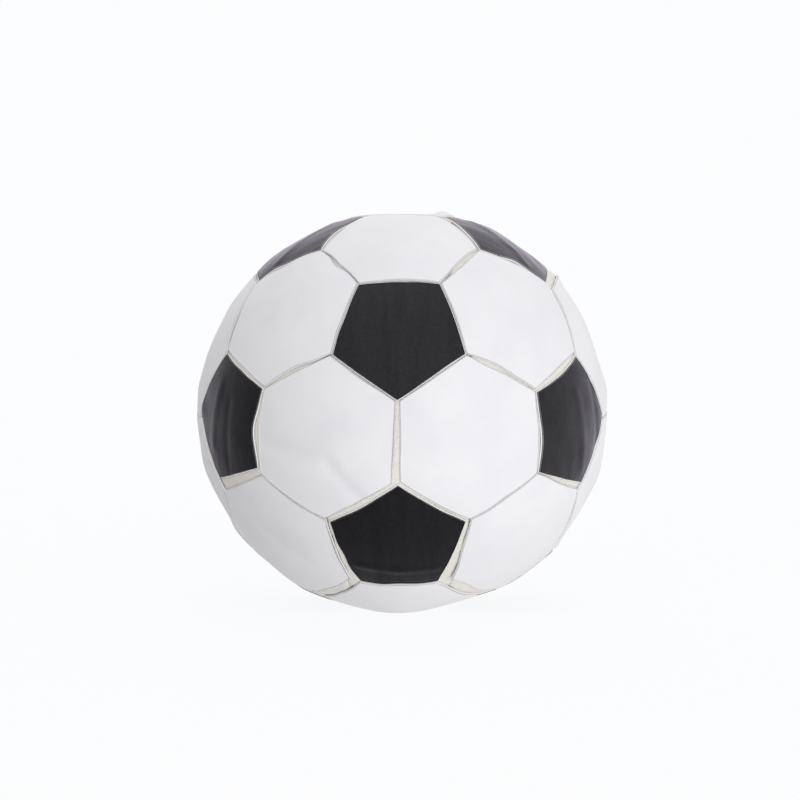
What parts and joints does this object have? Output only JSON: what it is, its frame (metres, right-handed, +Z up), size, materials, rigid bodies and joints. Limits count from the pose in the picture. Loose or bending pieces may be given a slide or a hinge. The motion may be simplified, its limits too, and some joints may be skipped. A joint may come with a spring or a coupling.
{
  "type": "medicine ball",
  "caption": "Soft stuffed medicine ball with a cover of black pentagon and white hexagon leatherette panels bonded to a canvas body.",
  "frame": {"origin": "centre of the flat patch that the ball rests on, on the floor under the middle of the ball", "axes": "+Z up out of the floor through the ball's middle, front towards -Y (an upper black pentagon over a lower one), +X to the right as seen from the front"},
  "size_m": [0.28, 0.28, 0.2753],
  "materials": {
    "black_leatherette": "near-black coated cloth with a fine grain and a soft sheen, white backing at its cut edges",
    "white_leatherette": "semi-matt white coated cloth, smooth with soft creases",
    "canvas": "unbleached plain-weave cotton canvas",
    "felt": "needled felt",
    "fibre": "packed textile fibre",
    "bag_cloth": "plain calico",
    "ballast": "loose mineral grains",
    "thread": "waxed linen thread"
  },
  "bodies": {
    "root": {"ballast": "ballast", "ballast_bag_lower": "bag_cloth", "ballast_bag_tie": "thread", "ballast_bag_upper": "bag_cloth", "black_back_lower_panel": "black_leatherette", "black_back_upper_panel": "black_leatherette", "black_bottom_left_panel": "black_leatherette", "black_bottom_right_panel": "black_leatherette", "black_front_lower_panel": "black_leatherette", "black_front_upper_panel": "black_leatherette", "black_left_back_panel": "black_leatherette", "black_left_front_panel": "black_leatherette", "black_right_back_panel": "black_leatherette", "black_right_front_panel": "black_leatherette", "black_top_left_panel": "black_leatherette", "black_top_right_panel": "black_leatherette", "canvas_gore_1": "canvas", "canvas_gore_2": "canvas", "canvas_gore_3": "canvas", "canvas_gore_4": "canvas", "canvas_gore_5": "canvas", "canvas_gore_6": "canvas", "canvas_gore_7": "canvas", "canvas_gore_8": "canvas", "canvas_pole_patch_bottom": "canvas", "canvas_pole_patch_top": "canvas", "closing_stitches": "thread", "felt_wrap_lower": "felt", "felt_wrap_upper": "felt", "fibre_filling_lower": "fibre", "fibre_filling_upper": "fibre", "gore_stitching": "thread", "white_back_left_panel": "white_leatherette", "white_back_right_panel": "white_leatherette", "white_bottom_back_panel": "white_leatherette", "white_bottom_front_panel": "white_leatherette", "white_front_left_panel": "white_leatherette", "white_front_right_panel": "white_leatherette", "white_left_lower_panel": "white_leatherette", "white_left_upper_panel": "white_leatherette", "white_lower_back_left_panel": "white_leatherette", "white_lower_back_right_panel": "white_leatherette", "white_lower_front_left_panel": "white_leatherette", "white_lower_front_right_panel": "white_leatherette", "white_right_lower_panel": "white_leatherette", "white_right_upper_panel": "white_leatherette", "white_top_back_panel": "white_leatherette", "white_top_front_panel": "white_leatherette", "white_upper_back_left_panel": "white_leatherette", "white_upper_back_right_panel": "white_leatherette", "white_upper_front_left_panel": "white_leatherette", "white_upper_front_right_panel": "white_leatherette"}
  },
  "joints": []
}
